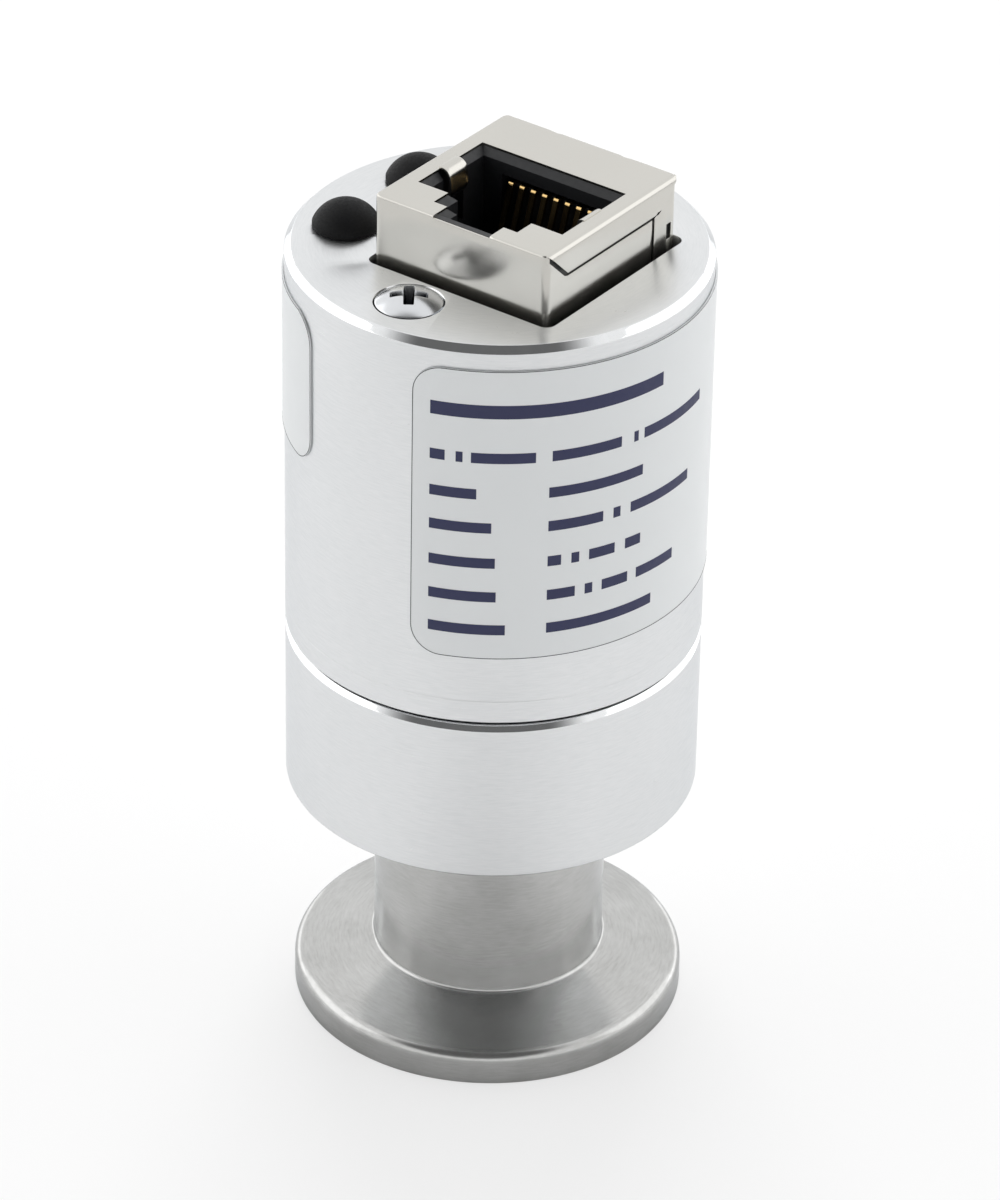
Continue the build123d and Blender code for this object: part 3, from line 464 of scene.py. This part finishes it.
# The flap's ends are cut at 45 degrees, its lower edge has a small jog, and the wall ends below it at a gap
flap = {"face": 9.8, "bend": 0.42, "from": -7.35, "to": 8.25, "drop": 2.1, "end": 0.06, "backFrom": 6.3,
        "jogAt": 5.6, "jogLength": 0.12, "jog": 0.15, "gap": 0.4, "margin": 0.1, "steps": 60}
flapEnds = [flap["from"], flap["from"] + flap["drop"], flap["jogAt"], flap["jogAt"] + flap["jogLength"],
            flap["backFrom"], flap["to"]]
flapDrops = [flap["end"], flap["drop"], flap["drop"], flap["drop"] - flap["jog"], flap["drop"] - flap["jog"],
             flap["end"]]


def flapDrop(y):  # how far down the flap reaches at y, along straight lines between the drops at its ends
    return np.interp(y, flapEnds, flapDrops)


halfWidth, halfLength = can["width"] / 2, can["length"] / 2
shift = can["jackX"] - can["x"]  # the mouth's centre is beside the can's

# Matched corners, from the notch's right side round to its left: where each is on the can's edge and on the mouth's
right, left = halfWidth, -halfWidth
front, back = -halfLength, halfLength
innerEdge = front + can["bend"]
inner = np.array([
    (mouth["notch"], innerEdge), (mouth["notch"], mouth["shelf"]), (mouth["step"], mouth["shelf"]),
    (mouth["step"], mouth["front"]), (mouth["half"], mouth["front"]), (mouth["half"], mouth["back"]),
    (-mouth["half"], mouth["back"]), (-mouth["half"], mouth["front"]), (-mouth["step"], mouth["front"]),
    (-mouth["step"], mouth["shelf"]), (-mouth["notch"], mouth["shelf"]), (-mouth["notch"], innerEdge),
]) + (shift, 0)
cut = can["corner"] * (1 - math.sqrt(0.5))  # how far the middle of a rounded corner is inside the square one
outer = np.array([
    *((shift + x, front) for x in mouth["onFront"]), (right - cut, front + cut), (right - cut, back - cut),
    (left + cut, back - cut), (left + cut, front + cut), *((shift - x, front) for x in reversed(mouth["onFront"])),
])
edge = rectangle(0, 0, can["width"], can["length"], can["corner"], 9)
edge = np.roll(edge, -int(np.argmin(np.hypot(*(edge - (right - can["corner"], front)).T))), 0)
edge = np.vstack([(mouth["notch"] + shift, front), edge, (mouth["notch"] + shift, front)])  # starts at the notch
reach = np.concatenate([[0], np.cumsum(np.linalg.norm(np.diff(edge, axis=0), axis=1))])
outerReach = np.array([reach[np.argmin(np.hypot(*(edge - p).T))] for p in outer])
outerReach[0] = 0


def onEdge(x=None, y=None):  # how far round the can a point on its front or right side is
    if y is None:
        return x - (mouth["notch"] + shift) if x > mouth["notch"] else reach[-1] - (mouth["notch"] + shift - x)
    cornerEnd = reach[np.argmin(np.hypot(*(edge - (right, front + can["corner"])).T))]
    return cornerEnd + y - (front + can["corner"])


outerReach[1:4] = [onEdge(x=p[0]) for p in outer[1:4]]
outerReach[8:] = [onEdge(x=p[0]) for p in outer[8:]]
marks = [onEdge(y=y) for y in (seam["from"], seam["to"], window["from"], window["to"])]
innerReach = np.concatenate([[0], np.cumsum(np.linalg.norm(np.diff(inner, axis=0), axis=1))])
stations = np.unique(np.round(np.concatenate([
    outerReach, marks, reach, np.arange(0, reach[-1], can["step"])]), 5))
stations = stations[np.concatenate([[True], np.diff(stations) > can["closest"]])]
onCan = np.column_stack([np.interp(stations, reach, edge[:, i]) for i in (0, 1)])
mouthReach = np.interp(stations, outerReach, innerReach)
onMouth = np.column_stack([np.interp(mouthReach, innerReach, inner[:, i]) for i in (0, 1)])
tangent = unit(np.gradient(onCan, stations, axis=0))
inward = np.column_stack([-tangent[:, 1], tangent[:, 0]])
arcAngle = np.linspace(0, np.pi / 2, 7)
wallHeights = np.array([can["foot"], can["rows"][0], window["foot"], window["top"], seam["top"], can["rows"][1],
                        can["top"] - can["bend"]])
wall = np.concatenate([np.repeat(onCan[:, None], len(wallHeights), 1),
                       np.broadcast_to(wallHeights[None, :, None], (len(stations), len(wallHeights), 1))], 2)
depth = can["bend"] * (1 - np.cos(arcAngle[1:]))
bendXY = onCan[:, None] + inward[:, None] * depth[None, :, None]
bendZ = can["top"] - can["bend"] * (1 - np.sin(arcAngle[1:]))
bend = np.concatenate([bendXY, np.broadcast_to(bendZ[None, :, None], (len(stations), len(bendZ), 1))], 2)
share = np.array([0.08, 0.5, 0.92, 1.0])
plateXY = bendXY[:, -1:] * (1 - share[None, :, None]) + onMouth[:, None] * share[None, :, None]
plate = np.concatenate([plateXY, np.full((len(stations), len(share), 1), can["top"])], 2)
grid = np.concatenate([wall, bend, plate], 1)
nearNick = np.min(np.abs(onCan[:, None, 0] - np.array(can["nicks"]) - shift), 1)
dent = np.where(onCan[:, 1] > back - can["onSide"], np.clip(1 - nearNick / can["nickWidth"], 0, 1), 0)
nearTop = np.clip((grid[..., 2] - (can["top"] - can["nickDrop"])) / can["nickFade"], 0, 1)
nearTop = nearTop * (np.arange(grid.shape[1]) <= grid.shape[1] - len(share))  # the plate itself stays flat
grid[..., 1] -= can["nickDepth"] * dent[:, None] * nearTop
across, along = grid.shape[:2]
yHere = onCan[:, 1] + can["y"]
underFlap = (yHere > flap["from"] + flap["margin"]) & (yHere < flap["to"] - flap["margin"])
underFlap = underFlap & (onCan[:, 0] > right - can["nearSide"])
cutAt = np.where(underFlap, can["top"] - flapDrop(yHere) - flap["gap"], can["top"])
wallRows = len(wallHeights)
grid[:, :wallRows, 2] = np.minimum(grid[:, :wallRows, 2], cutAt[:, None])
faces = gridFaces(across, along)
column, row = np.divmod(faces[:, 0], along)
nextColumn = np.minimum(column + 1, across - 1)
inBend = (row >= wallRows - 1) & (row < wallRows + len(bendZ) - 1)
inFlap = underFlap[column] & underFlap[nextColumn] & inBend
middleAt = (stations[column] + stations[nextColumn]) / 2
middleZ = (grid[column, row, 2] + grid[column, np.minimum(row + 1, along - 1), 2]) / 2
inNotch = (middleAt > outerReach[-1]) & (row >= wallRows - 1)
inSeam = (middleAt > marks[0]) & (middleAt < marks[1]) & (middleZ < seam["top"])
inWindow = (middleAt > marks[2]) & (middleAt < marks[3]) & (middleZ > window["foot"]) & (middleZ < window["top"])
faces = faces[~(inNotch | inSeam | inWindow | inFlap)].tolist()
canPoints = grid.reshape(-1, 3) + (can["x"], can["y"], 0)
sheetMetal = ("SOLIDIFY", {"thickness": can["sheet"] * mm, "offset": -1.0, "use_even_offset": True, "use_rim": True})
fineBevel = bevel(0.03, 50)
makePiece("shieldCan", (canPoints, faces), materials["tinnedSteel"], hides=["jack_shield"],
          modifiers=[sheetMetal, fineBevel], sharpAngle=40)
print("shield can:", across, "by", along)

# Flap over the right wall: the top sheet goes on over a bend of radius r and down
y = np.unique(np.concatenate([np.linspace(flap["from"], flap["to"], flap["steps"]), flapEnds]))
drop = flapDrop(y)
r = flap["bend"]
length = np.where(drop < r, r * np.arccos(np.clip(1 - drop / r, -1, 1)), r * np.pi / 2 + drop - r)
s = length[:, None] * np.concatenate([np.linspace(0, 0.4, 9), np.linspace(0.4, 1, 6)[1:]])  # closer over the bend
a = np.clip(s / r, 0, np.pi / 2)
straight = np.maximum(s - r * np.pi / 2, 0)
flapGrid = np.stack([flap["face"] - r + r * np.sin(a), np.broadcast_to(y[:, None], s.shape),
                     can["top"] - r * (1 - np.cos(a)) - straight], -1)
faces = gridFaces(*flapGrid.shape[:2])[:, ::-1].tolist()
makePiece("shieldFlap", (flapGrid.reshape(-1, 3), faces), materials["tinnedSteel"],
          modifiers=[sheetMetal, fineBevel], sharpAngle=40)

# Spring fingers: a strip that rolls over the mouth's edge, goes down beside the cavity and kicks out at its tip
finger = {
    "width": 2.1, "y": -0.5, "steps": 7, "bendSteps": 10,
    "left": ([(0.06, -0.01), (-0.72, -0.01), (-0.9, -1.6), (-0.7, -2.1)], [0, 0.6, 0.4, 0]),
    "right": ([(0.06, -0.12), (-0.32, -0.12), (-0.82, -3.1), (-0.35, -4.0)], [0, 0.3, 0.8, 0]),
}
for side, name in ((-1, "left"), (1, "right")):
    line = roundCorners(*finger[name], finger["bendSteps"], closed=False)
    y = finger["y"] + finger["width"] * np.linspace(-0.5, 0.5, finger["steps"])
    strip = np.stack(np.broadcast_arrays(can["jackX"] + side * (mouth["half"] + line[:, 0])[:, None], y[None],
                                         can["top"] + line[:, 1][:, None]), -1)
    faces = gridFaces(*strip.shape[:2])[:, ::side].tolist()
    makePiece(f"springFinger_{name}", (strip.reshape(-1, 3), faces), materials["tinnedSteel"],
              modifiers=[sheetMetal, fineBevel], sharpAngle=40)
print("shield done")

# Foil labels bent round the cap: point(u, z) is at arc length centre + u * (half the width - the corner's inset at z)
label = {"thickness": 0.12, "glue": 0.025, "corner": 2.3, "border": 0.055, "borderInset": 0.015, "ink": 0.01,
         "columns": 140, "rows": 12, "cornerSteps": 14, "borderSteps": 900}
inkLayer = ("SOLIDIFY", {"thickness": label["ink"] * mm, "offset": -1.0})
foilFace = cap["radius"] + label["glue"] + label["thickness"]
labels = {
    "main": {"start": -76.4, "sweep": 167.0, "foot": 38.9, "height": 24.0},
    "side": {"start": -200.4, "sweep": 88.0, "foot": 50.3, "height": 12.2},
}


def roundBody(arc, z, radius):  # arc length on the cap, height and radius to a place
    angle = arc / cap["radius"]
    return np.stack([radius * np.cos(angle), radius * np.sin(angle), z], -1)


def evenly(loop, count):  # points at equal steps along a closed loop
    loop = np.vstack([loop, loop[:1]])
    along = np.concatenate([[0], np.cumsum(np.linalg.norm(np.diff(loop, axis=0), axis=1))])
    steps = np.linspace(0, along[-1], count, endpoint=False)
    return np.column_stack([np.interp(steps, along, loop[:, i]) for i in (0, 1)])


def cornerInset(z, height, corner):  # c - sqrt(c^2 - d^2), with d the height above the straight part of the side
    d = np.clip(np.abs(z) - (height / 2 - corner), 0, corner)
    return corner - np.sqrt(np.maximum(corner ** 2 - d ** 2, 0))


for name, facts in labels.items():
    width = math.radians(facts["sweep"]) * cap["radius"]
    centreArc = math.radians(facts["start"] + facts["sweep"] / 2) * cap["radius"]
    centreZ = facts["foot"] + facts["height"] / 2
    bendStep = np.linspace(0, np.pi / 2, label["cornerSteps"])
    low = -facts["height"] / 2 + label["corner"] * (1 - np.cos(bendStep))
    z = np.concatenate([low, np.linspace(low[-1], -low[-1], label["rows"])[1:-1], -low[::-1]])
    halfArc = width / 2 - cornerInset(z, facts["height"], label["corner"])
    u = np.linspace(-1, 1, label["columns"])
    arc = centreArc + u[:, None] * halfArc[None]
    patch = roundBody(arc, np.broadcast_to(centreZ + z, arc.shape), foilFace)
    faces = gridFaces(*patch.shape[:2]).tolist()
    makePiece(f"label_{name}_foil", (patch.reshape(-1, 3), faces), materials["metalFoil"],
              hides=[f"label_{name}"], sharpAngle=60,
              modifiers=[("SOLIDIFY", {"thickness": label["thickness"] * mm, "offset": -1.0})])
    # Dark grey line just inside the label's edge: a closed band between two outlines of the label, drawn in by a hair
    insets = (label["borderInset"] + label["border"], label["borderInset"])
    bands = [rectangle(centreArc, centreZ, width - 2 * d, facts["height"] - 2 * d, label["corner"] - d,
                       label["cornerSteps"]) for d in insets]
    fine = [evenly(b, label["borderSteps"]) for b in bands]
    border = np.stack([roundBody(b[:, 0], b[:, 1], foilFace + label["ink"]) for b in fine], 1)
    faces = gridFaces(*border.shape[:2], True)[:, ::-1].tolist()
    makePiece(f"label_{name}_border", (border.reshape(-1, 3), faces), materials["labelEdgeGrey"],
              modifiers=[inkLayer], sharpAngle=60)

# Neutral print: a plain head bar, and rows of bars as on any rating label. Height and thickness of each row in mm,
# then start angle in degrees and length in mm of each bar
printRows = [
    (59.6, 1.1, [(-71.4, 18.0)]),
    (55.8, 0.85, [(-71.4, 1.1), (-64.5, 0.5), (-60.5, 4.6), (-39.3, 5.4), (-15.5, 0.4), (-12.0, 7.0)]),
    (52.8, 0.85, [(-71.4, 3.4), (-40.0, 7.6)]),
    (50.0, 0.85, [(-71.4, 4.5), (-40.0, 4.2), (-21.5, 0.6), (-16.0, 6.4)]),
    (47.05, 0.85, [(-71.4, 4.8), (-40.0, 1.0), (-33.5, 0.6), (-28.5, 2.1), (-17.5, 1.4)]),
    (44.2, 0.85, [(-71.4, 4.9), (-40.0, 2.1), (-29.5, 0.6), (-24.5, 2.2), (-13.5, 3.9)]),
    (41.4, 0.85, [(-71.4, 5.6), (-40.0, 8.8)]),
]
barSteps = 24
bars = [(z, height, math.radians(start) * cap["radius"], width)
        for z, height, row in printRows for start, width in row]
barZ = np.array([[z - height / 2, z + height / 2] for z, height, _, _ in bars])
barArc = np.array([start + width * np.linspace(0, 1, barSteps) for _, _, start, width in bars])
arc, z = np.repeat(barArc[:, :, None], 2, 2), np.repeat(barZ[:, None], barSteps, 1)
points = roundBody(arc, z, foilFace + label["ink"])
faces = (gridFaces(barSteps, 2)[None] + (np.arange(len(bars)) * barSteps * 2)[:, None, None]).reshape(-1, 4).tolist()
makePiece("label_main_print", (points.reshape(-1, 3), faces), materials["navyInk"], modifiers=[inkLayer],
          sharpAngle=60)
print("labels done")

# Camera: fitted to the photograph; the turn brings the view from the can's own axes to the photograph's
view = {"place": (219.9, -302.2, 269.2), "yaw": 0.0014, "pitch": 0.5616, "roll": 0.0187, "turn": 36.05,
        "lens": 176.3, "sensor": 36.0, "clip": (0.01, 10.0)}
yaw, pitch, roll = view["yaw"], view["pitch"], view["roll"]
ahead = Vector((math.sin(yaw) * math.cos(pitch), math.cos(yaw) * math.cos(pitch), -math.sin(pitch)))
beside = Vector((math.cos(yaw), -math.sin(yaw), 0))
above = beside.cross(ahead)
rightward = math.cos(roll) * beside + math.sin(roll) * above
upward = -math.sin(roll) * beside + math.cos(roll) * above
turn = Matrix.Rotation(math.radians(view["turn"]), 3, "Z")
axes = Matrix([turn @ rightward, turn @ upward, turn @ -ahead]).transposed()
cameraData = bpy.data.cameras.new("camera")
cameraData.sensor_fit, cameraData.sensor_height, cameraData.lens = "VERTICAL", view["sensor"], view["lens"]
cameraData.clip_start, cameraData.clip_end = view["clip"]
camera = bpy.data.objects.new("camera", cameraData)
bpy.context.scene.collection.objects.link(camera)
camera.matrix_world = Matrix.Translation(Vector(view["place"]) * mm) @ axes.to_4x4()
bpy.context.scene.camera = camera

# Share of plain white that rays from the camera, in reflections and through glass see on the floor and in the sky
whiteShare = {"floor": {"Is Camera Ray": 0.65, "Is Glossy Ray": 0.0, "Is Transmission Ray": 0.65},
              "sky": {"Is Camera Ray": 1.0, "Is Glossy Ray": 0.13, "Is Transmission Ray": 1.0}}


def addWhiteShare(tree, shares):  # sum of each kind of ray, 1 or 0, times its share
    rays = addNode(tree, "ShaderNodeLightPath")
    total = 0.0
    for ray, share in shares.items():
        total = addNode(tree, "ShaderNodeMath", {"operation": "MULTIPLY_ADD"},
                        {0: rays.outputs[ray], 1: share, 2: total}).outputs[0]
    return total


# Floor: white matt paper
floorHalf = 2000 * mm
floorCorners = [(x * floorHalf, y * floorHalf, 0) for x, y in ((-1, -1), (1, -1), (1, 1), (-1, 1))]
floorMesh = bpy.data.meshes.new("floor")
floorMesh.from_pydata(floorCorners, [], [(0, 1, 2, 3)])
floor = bpy.data.objects.new("floor", floorMesh)
bpy.context.scene.collection.objects.link(floor)
floorPaper, tree = newMaterial("floorPaper")
matt = addNode(tree, "ShaderNodeBsdfDiffuse", inputs={"Color": toLinear("#E8E8E8")})
seen = addNode(tree, "ShaderNodeEmission", inputs={"Color": (1, 1, 1, 1), "Strength": 1.0})
mixed = addNode(tree, "ShaderNodeMixShader", inputs={
    0: addWhiteShare(tree, whiteShare["floor"]), 1: matt.outputs[0], 2: seen.outputs[0]})
addNode(tree, "ShaderNodeOutputMaterial", inputs={"Surface": mixed.outputs[0]})
floorMesh.materials.append(floorPaper)

# Studio: a white tent as the world, with a dim opening above the place where one stands to take the picture
studio = {"tent": 1.055, "opening": 0.03, "openingHeight": 56.0, "openingSide": -8.0, "openingEdge": (0.72, 0.9)}
tilt, side = math.radians(studio["openingHeight"]), math.radians(studio["openingSide"])
opening = turn @ Vector((math.sin(side) * math.cos(tilt), -math.cos(side) * math.cos(tilt), math.sin(tilt)))
world = bpy.data.worlds.new("studio")
bpy.context.scene.world = world
world.use_nodes = True
tree = world.node_tree
tree.nodes.clear()
direction = addNode(tree, "ShaderNodeTexCoord").outputs["Generated"]
facing = addNode(tree, "ShaderNodeVectorMath", {"operation": "DOT_PRODUCT"}, {0: direction, 1: tuple(opening)})
level = addNode(tree, "ShaderNodeMapRange", {"interpolation_type": "SMOOTHSTEP"}, {
    "Value": facing.outputs["Value"], "From Min": studio["openingEdge"][0], "From Max": studio["openingEdge"][1],
    "To Min": studio["tent"], "To Max": studio["opening"]})
strength = addNode(tree, "ShaderNodeMix", {"data_type": "FLOAT"}, {
    "Factor": addWhiteShare(tree, whiteShare["sky"]), "A": level.outputs["Result"], "B": 1.0})
sky = addNode(tree, "ShaderNodeBackground", inputs={"Color": (1, 1, 1, 1), "Strength": strength.outputs["Result"]})
addNode(tree, "ShaderNodeOutputWorld", inputs={"Surface": sky.outputs[0]})

# Lamps: place and aim in the photograph's own axes, in mm, width and height in mm, strength in watts, and whether
# metal shows the lamp itself
lamps = {
    "glowLeft": ((-420, 560, 90), (0, 0, 40), 480, 260, 0.3, True),
    "glowRight": ((420, 560, 90), (0, 0, 40), 480, 260, 0.3, True),
    "softLeft": ((-511, 137, 320), (0, 0, 40), 640, 420, 0.5, True),
    "softRight": ((511, 137, 320), (0, 0, 40), 640, 420, 0.4, True),
    "softTop": ((0, 300, 560), (0, 0, 40), 260, 260, 1.7, False),
}
for name, (place, aim, width, height, watts, mirrored) in lamps.items():
    lampData = bpy.data.lights.new(name, "AREA")
    lampData.shape, lampData.size, lampData.size_y, lampData.energy = "RECTANGLE", width * mm, height * mm, watts
    lamp = bpy.data.objects.new(name, lampData)
    bpy.context.scene.collection.objects.link(lamp)
    spot = turn @ Vector(place) * mm
    lamp.location = spot
    lamp.rotation_mode = "QUATERNION"
    lamp.rotation_quaternion = (Vector(aim) * mm - spot).to_track_quat("-Z", "Y")
    lamp.visible_glossy = mirrored

bpy.context.scene.view_settings.view_transform = "Standard"
print("studio done")
